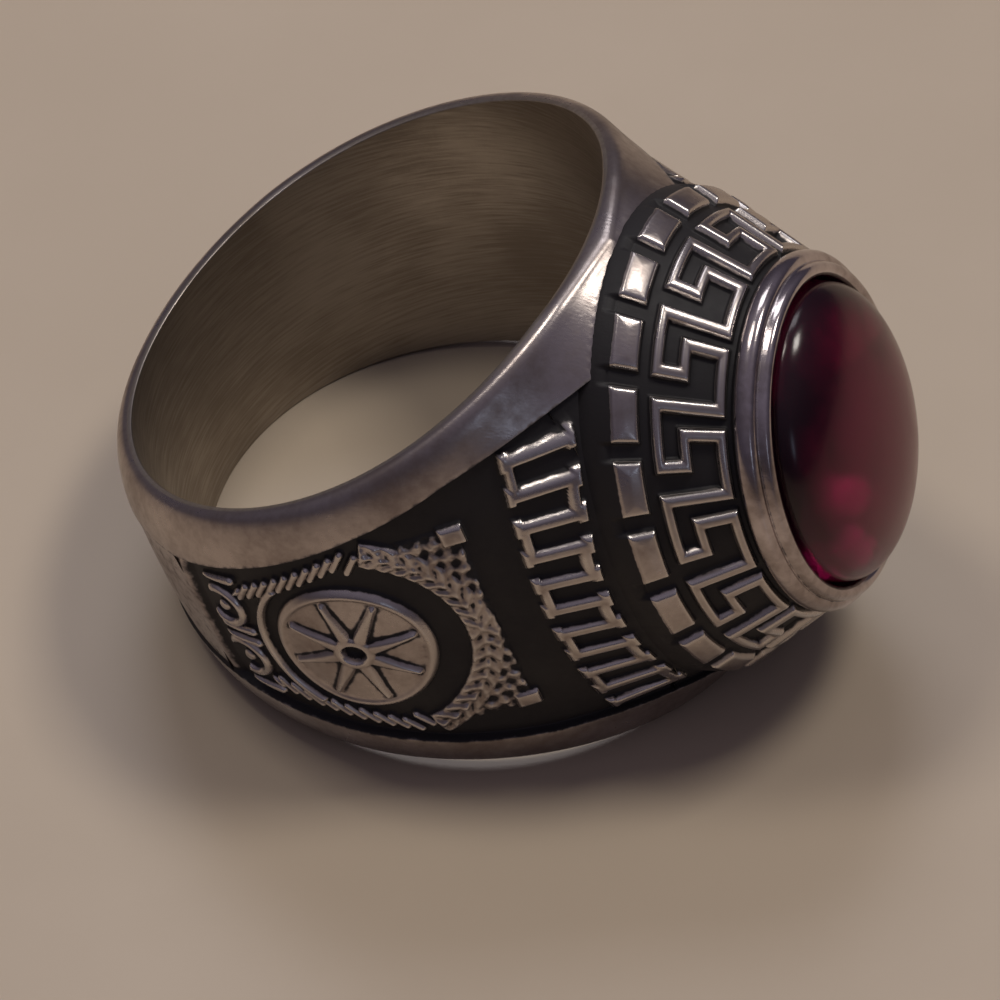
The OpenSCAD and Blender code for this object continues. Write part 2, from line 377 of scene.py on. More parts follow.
@dataclass(frozen=True)
class Casting:
    """Sizes of the band and head in mm, and the surface that they give."""

    bore: float
    back_width: float = 7.8
    side_width: float = 12.8
    head_width: float = 19.7
    rim_dip: float = 0.55
    rim_flat: float = 0.2
    rim_spare: float = 0.1
    back_wall: float = 1.0
    side_wall: float = 1.4
    head_edge: float = 11.9
    deck_drop: float = 0.25
    deck_reach: float = 80.0
    head: Oval = Oval(9.55, 7.95)
    foot: Oval = Oval(6.95, 5.95)
    bezel_foot: float = 15.5
    bezel_rim: float = 16.6
    panel_depth: float = 0.35
    panel_end: float = 118.0
    back_sink: float = 0.12
    groove_width: float = 0.35
    groove_depth: float = 0.8

    @property
    def edge(self) -> float:
        """Radius at which the flat of the rim ends."""
        return self.bore + self.rim_flat

    @property
    def side(self) -> float:
        """Outer radius at the side."""
        return self.bore + self.side_wall

    @property
    def rest_slope(self) -> float:
        """How far the resting plane falls from the head to the finger's axis."""
        return (self.head_width - self.back_width + self.rim_spare) / 4.0

    def half_width(self, angle: Array, radius: float | None = None) -> Array:
        """Height of the rim over the middle plane: a cubic in the cosine, cut off by the resting plane."""
        c = np.cos(np.radians(angle))
        mean = (self.head_width / 2 + self.rim_spare + self.back_width / 2) / 2
        free = (self.side_width / 2 + (mean - self.back_width / 2) * c
                + (mean - self.side_width / 2) * c * c - self.rim_dip * c * (1 - c * c))
        share = (self.edge if radius is None else radius) / self.edge
        return np.minimum(free, self.head_width / 2 - self.rest_slope * (1 - c * share))

    def outer(self, angle: Array, z: Array) -> Array:
        """Radius of the outside: flat under the head, a straight flank to the side, and round behind it."""
        a = np.abs((angle + 180.0) % 360.0 - 180.0)
        deck = self.head_edge - self.deck_drop
        reach = self.head.half_wide * np.sqrt(np.clip(1 - (z / self.head.half_long) ** 2, 0, None))
        corner = np.degrees(np.arctan2(reach, deck))
        touch = corner + np.degrees(np.arccos(self.side / np.hypot(deck, reach)))
        flat = deck / np.cos(np.radians(np.minimum(a, self.deck_reach)))
        flank = self.side / np.cos(np.radians(np.clip(a - touch, -60.0, 0.0)))
        back = self.side + (self.back_wall - self.side_wall) * np.clip(a - 90.0, 0, None) / 90.0
        return np.where(a < corner, flat, np.where(a < touch, flank, back))

    def fullness(self, angle: Array) -> Array:
        """Power of the section's rounded edge: higher, and so squarer, near the head."""
        return 2.6 + 1.6 * (np.clip(60.0 - np.abs(angle), 0, None) / 60.0) ** 2

    def panel_share(self, angle: Array) -> Array:
        """Reach of the side panel across the band, as a share of its half width."""
        return np.interp(np.abs(angle), [20, 55, 75, 90, 118], [0.8, 0.8, 0.76, 0.71, 0.6])

    def sink(self, angle: Array) -> Array:
        """Depth of the panel's ground, which rises to almost nothing behind the panel's end."""
        end = smooth(np.abs(angle), self.panel_end - 1.5, self.panel_end + 1.5)
        return self.panel_depth + (self.back_sink - self.panel_depth) * end


# Relief


@dataclass(frozen=True)
class PanelRelief:
    """The ornament on a side panel, as heights over its ground in mm.

    A place on the panel is u, the mm away from the head from the medallion's centre, and v along the finger.
    Oxide thins out over the heights of oxide_span. Most edges are rounded over the width bevel. The ladder
    lies between two angles, each less a bend times the square of the way along the finger.
    """

    oxide_span: tuple[float, float] = (0.04, 0.23)
    bevel: float = 0.2
    middle: float = 83.5
    radius: float = 11.3
    medallion: float = 3.1
    disc_top: float = 0.24
    disc_bevel: float = 0.26
    lip_inset: float = 0.3
    lip_top: float = 0.1
    lip_width: float = 0.14
    boss: float = 0.82
    eye: float = 0.44
    eye_depth: float = 0.42
    rays: int = 8
    ray_turn: float = 11.0
    ray_span: tuple[float, float] = (0.8, 2.45)
    ray_half: float = 0.3
    ray_taper: float = 0.1
    wreath_radius: float = 4.8
    wreath_half: float = 0.6
    wreath_reach: float = 70.0
    wreath_top: float = 0.2
    leaf_pitch: float = 0.62
    lattice_top: float = 0.17
    lattice_from: float = 3.0
    lattice_ahead: float = 5.45
    lattice_across: float = 4.6
    foot_at: tuple[float, float] = (-5.2, 4.3)
    foot_half: tuple[float, float] = (0.5, 0.42)
    foot_top: float = 0.3
    ladder_ends: tuple[tuple[float, float], ...] = ((38.0, 0.19), (48.5, 0.11))
    ladder_outset: float = 0.9
    bars: int = 11
    bar_reach: float = 6.3
    bar_half: float = 0.28
    bar_top: float = 0.35
    bar_crown: float = 0.07
    post_half: float = 0.22
    post_inset: float = 0.35
    serif: float = 0.1
    serif_half: float = 0.2
    line_half: float = 0.19
    arc_radius: float = 3.75
    arc_from: float = 128.0
    arc_top: float = 0.3
    curl_at: tuple[float, float] = (5.29, 1.35)
    curl_radius: float = 0.85
    curl_gap: tuple[float, float] = (-150.0, 120.0)
    bead_radius: float = 0.3
    bead_top: float = 0.22
    leaf_top: float = 0.28
    leaves: tuple[tuple[float, float, float, float, float], ...] = (
        (4.3, 0.3, 6.1, 0.25, 0.2), (4.35, 2.9, 5.9, 2.75, 0.2), (4.1, 2.5, 4.55, 2.15, 0.16))
    strokes: int = 11
    stroke_from: float = 76.0
    stroke_pitch: float = 2.6
    stroke_span: tuple[float, float] = (2.4, 0.62)
    stroke_out: float = 4.6
    stroke_step: float = 0.2
    stroke_half: float = 0.17
    stroke_top: float = 0.24
    pits: float = 0.04

    @property
    def pace(self) -> float:
        """Millimetres on the panel for each degree."""
        return math.radians(1.0) * self.radius

    def disc(self, u: Array, v: Array) -> Array:
        """The medallion: a low disc with a rounded rim, and on it a pierced boss and tapering rays."""
        out = np.hypot(u, v)
        star = plateau(out - self.boss, self.disc_top, self.disc_bevel)
        width = self.ray_half - self.ray_taper * np.clip(out - self.ray_span[0], 0.0, 1.7)
        for k in range(self.rays):
            turn = math.radians(k * 360.0 / self.rays + self.ray_turn)
            tips = [(-reach * math.cos(turn), reach * math.sin(turn)) for reach in self.ray_span]
            star = np.maximum(star, plateau(segment_distance(u, v, *tips) - width, 0.22, 0.3))
        lip = self.lip_top * bell(out - self.medallion + self.lip_inset, self.lip_width)
        eye = np.where(out < 0.6, plateau(out - self.eye, self.eye_depth, 0.3), 0.0)
        return plateau(out - self.medallion, self.disc_top, self.disc_bevel) + star + lip - eye

    def wreath(self, u: Array, v: Array) -> Array:
        """The leafy band in front of the medallion, spread out towards a foot at each end.

        Across the band the leaves fall off towards its edges; along it they swell with the cosine of the way
        along less the way across, which slants them back from a middle rib.
        """
        w, out, turn = np.abs(v), np.hypot(u, v), np.abs(np.arctan2(v, -u))
        across, along = np.abs(out - self.wreath_radius), turn * self.wreath_radius
        ring = np.maximum(across - self.wreath_half, (turn - math.radians(self.wreath_reach)) * out)
        spread = np.maximum.reduce([self.wreath_radius - out, self.lattice_from + u,
                                    -u - self.lattice_ahead, w - self.lattice_across])
        foot = box_distance(u - self.foot_at[0], w - self.foot_at[1], *self.foot_half)
        leaves = np.cos(2 * np.pi * (along / self.leaf_pitch - across * 1.5))
        dome = np.sqrt(np.clip(1.0 - (across / self.wreath_half) ** 2, 0.0, 1.0))
        twigs = np.cos(2 * np.pi * (w * 1.1 + u * 0.8)) * np.cos(2 * np.pi * (w * 0.5 - u * 0.9))
        skin = dome * (0.08 + 0.08 * leaves) + plateau(across - 0.1, 0.08, 0.14) * dome
        rough = 0.05 * value_noise(u * 7.0, v * 7.0)
        band = plateau(ring, self.wreath_top, self.bevel) * (1.0 + 3.0 * (skin - rough))
        fill = plateau(spread, self.lattice_top, 0.25) * (1.0 + 0.45 * twigs) - rough
        return np.maximum.reduce([band, fill, plateau(foot, self.foot_top, self.bevel, 0.06)])

    def ladder(self, angle: Array, z: Array) -> Array:
        """The row of serifed bars that follows the head's oval, joined by posts at alternate ends."""
        pitch = 2 * self.bar_reach / (self.bars - 1)
        pace = math.radians(1.0) * (self.radius + self.ladder_outset)
        near, far = (at - bend * z * z for at, bend in self.ladder_ends)
        u, half = (np.abs(angle) - (near + far) / 2) * pace, (far - near) / 2 * pace
        place = (z + self.bar_reach) / pitch
        v = z + self.bar_reach - np.clip(np.round(place), 0, self.bars - 1) * pitch
        bar = box_distance(u, v, half, self.bar_half)
        serif = box_distance(np.abs(u) - half + self.serif_half, v, self.serif_half,
                             self.bar_half + self.serif)
        end = np.where(np.clip(np.floor(place), 0, self.bars - 2) % 2 == 0, -1.0, 1.0)
        post = np.abs(u - end * (half - self.post_inset)) - self.post_half
        post = np.where(np.abs(z) < self.bar_reach, post, 1.0)
        return plateau(np.minimum.reduce([bar, serif, post]), self.bar_top, self.bevel, self.bar_crown)

    def curl(self, u: Array, w: Array) -> Array:
        """An open ring with a bead in it."""
        u, w = u - self.curl_at[0], w - self.curl_at[1]
        out, turn = np.hypot(u, w), np.arctan2(w, -u)
        start, stop = np.radians(self.curl_gap)
        gap = np.maximum(turn - stop, start - turn)
        ring = np.maximum(np.abs(out - self.curl_radius) - self.line_half, gap * self.curl_radius)
        bead = plateau(out - self.bead_radius, self.bead_top, 0.25)
        return np.maximum(plateau(ring, self.leaf_top, self.bevel), bead)

    def trim(self, u: Array, v: Array) -> Array:
        """The ornament behind the medallion: an arc, and curls, leaves and slanted strokes on both sides."""
        w, out, turn = np.abs(v), np.hypot(u, v), np.abs(np.arctan2(v, -u))
        arc = np.maximum(np.abs(out - self.arc_radius) - self.line_half,
                         (math.radians(self.arc_from) - turn) * out)
        height = np.maximum(plateau(arc, self.arc_top, self.bevel), self.curl(u, w))
        for root_u, root_v, tip_u, tip_v, width in self.leaves:
            share = np.clip((u - root_u) / (tip_u - root_u), 0.0, 1.0)
            leaf = segment_distance(u, w, (root_u, root_v), (tip_u, tip_v)) - width * np.sqrt(1.02 - share)
            height = np.maximum(height, plateau(leaf, self.leaf_top, self.bevel))
        for k in range(self.strokes):
            angle = self.stroke_from + self.stroke_pitch * k
            start = ((angle - self.middle) * self.pace, self.stroke_out - self.stroke_step * abs(k - 1))
            stop = (start[0] + self.stroke_span[0] * self.pace, start[1] - self.stroke_span[1])
            line = segment_distance(u, w, start, stop) - self.stroke_half
            height = np.maximum(height, plateau(line, self.stroke_top, self.bevel))
        return height

    def height(self, angle: Array, z: Array) -> Array:
        """Everything on the panel together: the highest at each point, over a slightly pitted ground."""
        u = np.radians(np.abs(angle) - self.middle) * self.radius
        ground = -self.pits * value_noise(u * 6.0, z * 6.0 + 3.0)
        parts = (self.disc(u, z), self.wreath(u, z), self.ladder(angle, z), self.trim(u, z))
        return np.maximum.reduce([ground, *parts])


@dataclass(frozen=True)
class HeadRelief:
    """The ornament on the head's slope, as heights over its edge in mm.

    Oxide thins out over the heights of oxide_span above the ground. The bricks reach under the slope's foot
    by the share overrun. An edge is the width of its rounding and the height of the crown.
    """

    oxide_span: tuple[float, float] = (0.03, 0.22)
    depth: float = 0.35
    overrun: float = 0.02
    pits: float = 0.03
    bricks: int = 20
    brick_top: float = 0.22
    brick_share: float = 0.78
    brick_edge: tuple[float, float] = (0.22, 0.09)
    units: int = 14
    key_along: float = 0.29
    key_up: float = 0.23
    key_edge: tuple[float, float] = (0.2, 0.08)
    turn: float = 0.38
    low: float = 0.36
    high: float = 0.89
    strokes: tuple[tuple[float, float, float, float], ...] = (
        (0.0, 0.0, 0.0, 1.0), (0.0, 1.0, 0.7, 1.0), (0.7, 0.42, 0.7, 1.0),
        (0.36, 0.42, 0.7, 0.42), (0.36, 0.0, 0.36, 0.42), (0.36, 0.0, 1.0, 0.0))

    def border(self, turn: Array, q: Array, pace: Array, length: float) -> Array:
        """The row of bricks along the head's edge.

        Args:
            turn: angle round the oval, in radians.
            q: share of the way up the slope.
            pace: mm along the oval for each radian.
            length: mm up the slope for each unit of q.

        Returns:
            Heights over the slope's ground.
        """
        pitch = 2 * math.pi / self.bricks
        u = (np.mod(turn, pitch) - pitch / 2) * pace
        v = (q - self.brick_top / 2 + self.overrun) * length
        half_u = self.brick_share / 2 * pitch * pace
        half_v = (self.brick_top / 2 + self.overrun) * length
        return plateau(box_distance(u, v, half_u, half_v), self.depth, *self.brick_edge)

    def keys(self, turn: Array, q: Array, pace: Array, length: float) -> Array:
        """The key pattern: units of six strokes, each a bar with rounded edges. Arguments as in border."""
        pitch = 2 * math.pi / self.units
        share = np.mod(turn / pitch - self.turn, 1.0)
        up = (q - self.low) / (self.high - self.low)
        rise = (self.high - self.low) * length
        height = np.zeros_like(q)
        for u0, v0, u1, v1 in self.strokes:
            for step in (-1.0, 0.0, 1.0):
                u = (share - (u0 + u1) / 2 + step) * pitch * pace
                v = (up - (v0 + v1) / 2) * rise
                bar = box_distance(u, v, abs(u1 - u0) / 2 * pitch * pace + self.key_along,
                                   abs(v1 - v0) / 2 * rise + self.key_up)
                height = np.maximum(height, plateau(bar, self.depth, *self.key_edge))
        return height

    def height(self, turn: Array, q: Array, pace: Array, length: float) -> Array:
        """Bricks and keys together, over a slightly pitted ground. Arguments as in border."""
        ground = -self.pits * value_noise(turn * 60.0, q * 24.0)
        return np.maximum.reduce([ground, self.border(turn, q, pace, length),
                                  self.keys(turn, q, pace, length)]) - self.depth


# Pieces


@dataclass(frozen=True)
class BandSector:
    """A stretch of the band between two angles: outside, rims and bore, closed at both ends.

    Attributes:
        name: name of the piece.
        start: angle from the head at which it starts, in degrees.
        stop: angle at which it stops.
        sections: number of sections along it.
        floor_rows: points of each section across the panel's floor.
        rim_rows: points across each rim.
        bore_rows: points across the bore.
        wall_width: width of the step from a rim down to the floor, in mm.
        wall_rows: shares of that width at which the step has its rows.
        straight: reach in mm within which the floor's rows keep their height, so that bars stay straight.
        beyond: sections past each end that only lead the shading on.
        corner: chamfer between rim and bore, in mm.
        border_inset: how far inside each panel's edge the dark line along it lies, in mm.
        border_width: width of that line.
        groove_slope: rise of the head's groove for each mm away from the head.
        panel_stop: angles between which the relief fades out.
    """

    name: str
    start: float
    stop: float
    sections: int
    floor_rows: int
    rim_rows: int = 18
    bore_rows: int = 10
    wall_width: float = 0.14
    wall_rows: tuple[float, ...] = (0.15, 0.35, 0.55, 0.8, 1.0)
    straight: float = 6.65
    beyond: int = 4
    corner: float = 0.05
    border_inset: float = 0.12
    border_width: float = 0.15
    groove_slope: float = 5.0
    panel_stop: tuple[float, float] = (112.0, 117.0)

    def full_radius(self, casting: Casting, angle: Array, z: Array) -> Array:
        """Outer radius before the panels are sunk: a rounded section whose edge meets the rim's flat."""
        share = np.clip(np.abs(z) / casting.half_width(angle), 0.0, 1.0)
        power = casting.fullness(angle)
        rise = np.clip(1.0 - share**power, 0.0, 1.0) ** (1.0 / power)
        return casting.edge + (casting.outer(angle, z) - casting.edge) * rise

    def surface(self, casting: Casting, relief: PanelRelief) -> Surface:
        """Sections at even angles, each a loop of points from the upper rim round the outside and bore.

        Args:
            casting: the casting's shape.
            relief: the ornament on the panels.

        Returns:
            The stretch, with values recess, worn, around and along over it.
        """
        step = (self.stop - self.start) / (self.sections - 1)
        angle = (self.start + step * np.arange(-self.beyond, self.sections + self.beyond))[:, None]
        half = casting.half_width(angle)
        power, share = casting.fullness(angle), casting.panel_share(angle)
        phi = np.pi / 2 + (np.arcsin(share ** (power / 2)) - np.pi / 2) * np.linspace(0, 1, self.rim_rows)
        z_rim = np.sin(phi) ** (2 / power) * half
        drop = np.array(self.wall_rows)
        z_wall = share * half - self.wall_width * drop
        reach, spread = share * half - self.wall_width, np.linspace(1, -1, self.floor_rows + 2)[1:-1]
        core = np.minimum(reach, self.straight)
        z_floor = (core + (reach - core) * np.abs(spread) ** 12) * spread
        z = np.hstack([z_rim, z_wall, z_floor, -z_wall[:, ::-1], -z_rim[:, ::-1]])
        flat, wall = np.zeros(self.rim_rows), smooth(drop, 0.0, 1.0)
        depth = np.hstack([flat, wall, np.ones(self.floor_rows), wall[::-1], flat])
        a = np.broadcast_to(angle, z.shape)
        sink = casting.sink(a) * depth
        inner = smooth(share * half - self.wall_width - np.abs(z), 0.0, 0.15) * (depth >= 1.0)
        shown = 1.0 - smooth(np.abs(a), *self.panel_stop)
        lift = relief.height(a, z) * inner * shown
        r = self.full_radius(casting, a, z) - sink + lift
        low = (1.0 - smooth(lift, *relief.oxide_span)) * np.clip(sink / casting.panel_depth, 0, 1) * depth
        r, moat = self.cut_groove(casting, a, z, r)
        border = bell(np.abs(z) - share * half + self.border_inset, self.border_width)
        recess = np.maximum.reduce([low, moat, border, hollows(lift, False)])
        return self.with_bore(casting, angle, np.stack([r, a, z], axis=-1), recess, ridges(lift, False))

    def cut_groove(self, casting: Casting, a: Array, z: Array, r: Array) -> tuple[Array, Array]:
        """Cuts the groove round the head: inside the widened oval, x stays under the groove's floor.

        Args:
            casting: the casting's shape.
            a: angles in degrees.
            z: heights along the finger.
            r: radii of the outside.

        Returns:
            The new radii, and how far into the groove each point lies, from 0 to 1.
        """
        cos = np.cos(np.radians(np.minimum(np.abs(a), casting.deck_reach)))
        outside = casting.head.distance(r * np.sin(np.radians(a)), z) - casting.groove_width
        floor = casting.head_edge - casting.groove_depth
        limit = (floor + self.groove_slope * np.clip(outside, 0.0, None)) / cos
        cut = np.where(np.abs(a) < casting.deck_reach, np.minimum(r, limit), r)
        return cut, smooth(r - cut, 0.03, 0.2)

    def with_bore(self, casting: Casting, angle: Array, outside: Array, recess: Array,
                  worn: Array) -> Surface:
        """Closes each section with the rims' inner corners and the bore."""
        inner = casting.half_width(angle, casting.bore)
        spread = np.linspace(-1.0, 1.0, self.bore_rows)
        z = np.hstack([-inner, (inner - self.corner) * spread, inner])
        r = np.full(z.shape, casting.bore)
        r[:, [0, -1]] += self.corner
        loop = np.concatenate([outside, np.stack([r, np.broadcast_to(angle, z.shape), z], axis=-1)], axis=1)
        turn = np.radians(loop[..., 1])
        points = np.stack([loop[..., 0] * np.cos(turn), loop[..., 0] * np.sin(turn), loop[..., 2]], axis=-1)
        blank = np.zeros(z.shape)
        finish = np.concatenate([np.zeros(outside.shape[1], int), np.ones(z.shape[1], int)])
        values = {"recess": np.hstack([recess, blank]), "worn": np.hstack([worn, blank]),
                  "around": turn, "along": loop[..., 2]}
        return Surface(points, False, values, finish, self.beyond)


@dataclass(frozen=True)
class Head:
    """The head under the bezel: its wall, the bricked edge, the patterned slope and the stone's well.

    The base's rows are shares of the head's oval. The wall's rows lie under the head's edge by a drop, and
    the well's under the bezel's foot by a drop and inside its oval by an inset.
    """

    name: str = "head_slope"
    columns: int = 860
    slope_rows: int = 100
    skirt: float = 0.08
    buried: float = 10.6
    base: tuple[float, ...] = (0.1, 0.4, 0.7, 1.0)
    wall: tuple[float, ...] = (0.75, 0.5)
    well: tuple[tuple[float, float], ...] = ((0.3, 0.5), (0.04, 0.93))
    seat_floor: float = 11.88
    seat_end: Oval = Oval(0.82, 0.7)
    lean: tuple[float, float] = (0.6, 0.8)

    def surface(self, casting: Casting, relief: HeadRelief) -> Surface:
        """Ovals from under the band's skin up the wall, over the slope and down into the well.

        Args:
            casting: the casting's shape.
            relief: the ornament on the slope.

        Returns:
            The head, with values recess and worn over it.
        """
        turn = np.linspace(0, 2 * np.pi, self.columns, endpoint=False)[None, :]
        q = np.linspace(-relief.overrun, 1.0, self.slope_rows)[:, None]
        head, foot = casting.head, casting.foot
        rise = casting.bezel_foot - casting.head_edge
        half_long = head.half_long + (foot.half_long - head.half_long) * q
        half_wide = head.half_wide + (foot.half_wide - head.half_wide) * q
        length = math.hypot(rise, (head.half_long - foot.half_long + head.half_wide - foot.half_wide) / 2)
        pace = np.hypot(half_wide * np.cos(turn), half_long * np.sin(turn))
        q_all = np.broadcast_to(q, (self.slope_rows, self.columns))
        turn_all = np.broadcast_to(turn, q_all.shape)
        lift = relief.height(turn_all, q_all, pace, length)
        slope = np.stack([casting.head_edge + rise * q + lift * self.lean[0],
                          (half_wide + lift * self.lean[1]) * np.sin(turn),
                          (half_long + lift * self.lean[1]) * np.cos(turn)], axis=-1)
        base = np.stack([head.point(turn[0], 0.0) * share for share in self.base])
        base[..., 0] = np.sqrt(self.buried**2 - base[..., 1] ** 2)
        wall = [*base] + [head.point(turn[0], casting.head_edge - drop) for drop in self.wall]
        well = [foot.point(turn[0], casting.bezel_foot - drop, inset) for drop, inset in self.well]
        well.append(self.seat_end.point(turn[0], self.seat_floor))
        skirt = slope[:1] - np.array([self.skirt, 0.0, 0.0])
        points = np.concatenate([np.stack(wall), skirt, slope, np.stack(well)])
        low = np.maximum(1.0 - smooth(lift + relief.depth, *relief.oxide_span), hollows(lift, True))
        ends = (np.ones((len(wall) + 1, self.columns)), np.ones((len(well), self.columns)))
        values = {"recess": np.vstack([ends[0], low, ends[1]]),
                  "worn": np.vstack([ends[0] * 0, ridges(lift, True), ends[1] * 0])}
        return Surface(points, False, values)


@dataclass(frozen=True)
class Bezel:
    """The polished collar round the stone, with a step and a rounded lip."""

    name: str = "bezel"
    columns: int = 420
    wall: float = 0.95
    smoothing: int = 2
    step_at: tuple[float, float] = (0.7, 0.34)
    step_width: float = 0.05
    step_share: float = 0.55

    def profile(self, casting: Casting) -> Array:
        """Height and inset from the foot's oval of each point round the collar's section.

        Corners are cut off at a quarter of each side, once for each unit of smoothing.
        """
        foot, rim = casting.bezel_foot, casting.bezel_rim
        outline = np.array([
            [foot - 0.5, 0.5], [foot - 0.3, 0.3], [foot - 0.12, 0.1], [foot + 0.05, -0.02],
            [foot + 0.35, -0.03], [foot + 0.56, 0.06], [foot + 0.64, 0.2], [foot + 0.66, 0.3],
            [foot + 0.66, 0.36], [foot + 0.84, 0.38], [foot + 0.98, 0.42], [rim - 0.04, 0.52],
            [rim, 0.64], [rim - 0.04, 0.78], [rim - 0.16, 0.9], [rim - 0.3, self.wall],
            [rim - 1.1, self.wall], [foot - 0.5, self.wall]])
        for _ in range(self.smoothing):
            after = np.roll(outline, -1, axis=0)
            cut = np.stack([outline * 0.75 + after * 0.25, outline * 0.25 + after * 0.75], axis=1)
            outline = cut.reshape(-1, 2)
        return outline

    def surface(self, casting: Casting) -> Surface:
        """The profile carried round the foot's oval, with its hollows marked as recess."""
        turn = np.linspace(0, 2 * np.pi, self.columns, endpoint=False)
        outline = self.profile(casting)
        points = casting.foot.point(turn[None, :], outline[:, :1], outline[:, 1:])
        low = 1.0 - smooth(outline[:, :1], casting.bezel_foot - 0.15, casting.bezel_foot + 0.05)
        step = (bell(outline[:, :1] - casting.bezel_foot - self.step_at[0], self.step_width)
                * bell(outline[:, 1:] - self.step_at[1], self.step_width))
        recess = np.broadcast_to(np.maximum(low, self.step_share * step), points.shape[:2])
        return Surface(points, True, {"recess": recess, "worn": np.zeros(points.shape[:2])})


@dataclass(frozen=True)
class Stone:
    """The oval stone: a flat culet, facets up to the girdle and a smooth dome."""

    name: str = "red_stone"
    half_long: float = 5.94
    half_wide: float = 4.94
    rim: float = 16.6
    rise: float = 2.0
    depth: float = 4.6
    culet: float = 0.12
    girdle_drop: float = 0.7
    girdle_height: float = 0.3
    lip_drop: float = 0.1
    facets: int = 16
    steps: int = 12
    dome_rows: int = 40
    lip: float = 0.985
    # How far the painted glow leans towards one end along the finger.
    painted_glow_lean: float = 0.45

    def surface(self) -> Surface:
        """Ovals from the culet to the dome's top, with a value over them that paints light and shade into the
        colour.

        The facets are straight chords of the oval. The dome's height goes with the sine, and its reach with
        the cosine, of an angle that runs from 0 at the lip to a right angle at the top. The painted glow
        rises with the height over the rim, less a share of the place along the finger, so the stone is
        painted lighter up the dome and towards one end, as if lit through, and darker elsewhere as painted
        shade.
        """
        turn = np.linspace(0, 2 * np.pi, self.facets * self.steps, endpoint=False)
        wide = 2 * np.pi / self.facets
        chord = math.cos(wide / 2) / np.cos(np.mod(turn, wide) - wide / 2)
        girdle, lip_height = self.rim - self.girdle_drop, self.rim - self.lip_drop
        t = np.linspace(0, np.pi / 2, self.dome_rows + 1)[1:-1]
        heights = np.concatenate([[self.rim - self.depth, girdle - self.girdle_height, girdle, lip_height],
                                  lip_height + (self.rise + self.lip_drop) * np.sin(t)])[:, None]
        shares = np.concatenate([[self.culet, 1.0, 1.0, self.lip], self.lip * np.cos(t)])[:, None]
        shape = np.ones((len(heights), len(turn)))
        shape[:2] = chord
        points = np.stack(np.broadcast_arrays(heights, self.half_wide * shares * shape * np.sin(turn),
                                              self.half_long * shares * shape * np.cos(turn)), axis=-1)
        # Painted glow and shade: higher up the dome and towards one end the stone is painted lighter,
        # elsewhere darker.
        zone = (points[..., 0] - self.rim) / self.rise - self.painted_glow_lean * points[..., 2] / self.half_long
        return Surface(points, False, {"zone": zone}, faceted=2)


# Finishes


WORN_METAL: Colour = (0.8, 0.77, 0.73, 1.0)
METAL_GRAIN = 0.00008
TABLE_GRAIN = 0.00005


class Nodes:
    """A node tree with short calls that add its nodes and join them."""

    def __init__(self, tree: bpy.types.NodeTree) -> None:
        """Keeps the tree."""
        self.tree = tree

    def put(self, node: bpy.types.Node, inputs: dict) -> None:
        """Sets inputs of a node, each to a value or to another node's output."""
        for key, value in inputs.items():
            if isinstance(value, Socket):
                self.tree.links.new(value, node.inputs[key])
            else:
                node.inputs[key].default_value = value

    def add(self, kind: str, inputs: dict | None = None, **settings: object) -> bpy.types.Node:
        """Adds a node.

        Args:
            kind: the node's type without its ShaderNode prefix.
            inputs: socket name or number to a value, or to another node's output.
            settings: the node's own properties.

        Returns:
            The node.
        """
        node = self.tree.nodes.new("ShaderNode" + kind)
        for key, value in settings.items():
            setattr(node, key, value)
        self.put(node, inputs or {})
        return node

    def blend(self, share: object, low: object, high: object) -> Socket:
        """The colour between low and high at a share."""
        return self.add("Mix", {0: share, 6: low, 7: high}, data_type="RGBA").outputs[2]

    def math(self, kind: str, *values: object, clamp: bool = False) -> Socket:
        """The result of a Math node on its values."""
        return self.add("Math", dict(enumerate(values)), operation=kind, use_clamp=clamp).outputs[0]

    def mean(self, first: object, second: object, share: float) -> Socket:
        """The first value times a share, plus the second times the rest."""
        rest = self.math("MULTIPLY", second, 1.0 - share)
        return self.math("ADD", self.math("MULTIPLY", first, share), rest)

    def ramp(self, value: object, low: float, high: float, out_low: float = 0.0,
             out_high: float = 1.0) -> Socket:
        """A smooth step of a value from low to high, spread from out_low to out_high."""
        spans = {"Value": value, "From Min": low, "From Max": high, "To Min": out_low, "To Max": out_high}
        return self.add("MapRange", spans, interpolation_type="SMOOTHSTEP").outputs["Result"]

    def noise(self, vector: object, scale: float, detail: float = 4.0, rough: float = 0.5) -> Socket:
        """The value of a noise texture."""
        node = self.add("TexNoise", {"Vector": vector, "Scale": scale, "Detail": detail, "Roughness": rough})
        return node.outputs["Fac"]

    def bump(self, height: object, strength: float, distance: float) -> Socket:
        """The normal bent by a height over a distance in metres."""
        node = self.add("Bump", {"Height": height, "Strength": strength, "Distance": distance})
        return node.outputs["Normal"]

    def attribute(self, name: str) -> Socket:
        """The value of a mesh attribute."""
        return self.add("Attribute", attribute_name=name).outputs["Fac"]


def effect(name: str, inputs: dict[str, str], outputs: dict[str, str],
           build: Callable[[Nodes, dict], dict]) -> bpy.types.NodeTree:
    """Makes a shader effect as a node group.

    Args:
        name: name of the group.
        inputs: name and socket type of each input.
        outputs: name and socket type of each output.
        build: makes the nodes from the group's inputs, and returns a socket for each output.

    Returns:
        The node group.
    """
    tree = bpy.data.node_groups.new(name, "ShaderNodeTree")
    for in_out, sockets in (("INPUT", inputs), ("OUTPUT", outputs)):
        for label, kind in sockets.items():
            tree.interface.new_socket(label, in_out=in_out, socket_type="NodeSocket" + kind)
    start, stop = tree.nodes.new("NodeGroupInput"), tree.nodes.new("NodeGroupOutput")
    nodes = Nodes(tree)
    nodes.put(stop, build(nodes, {label: start.outputs[label] for label in inputs}))
    return tree


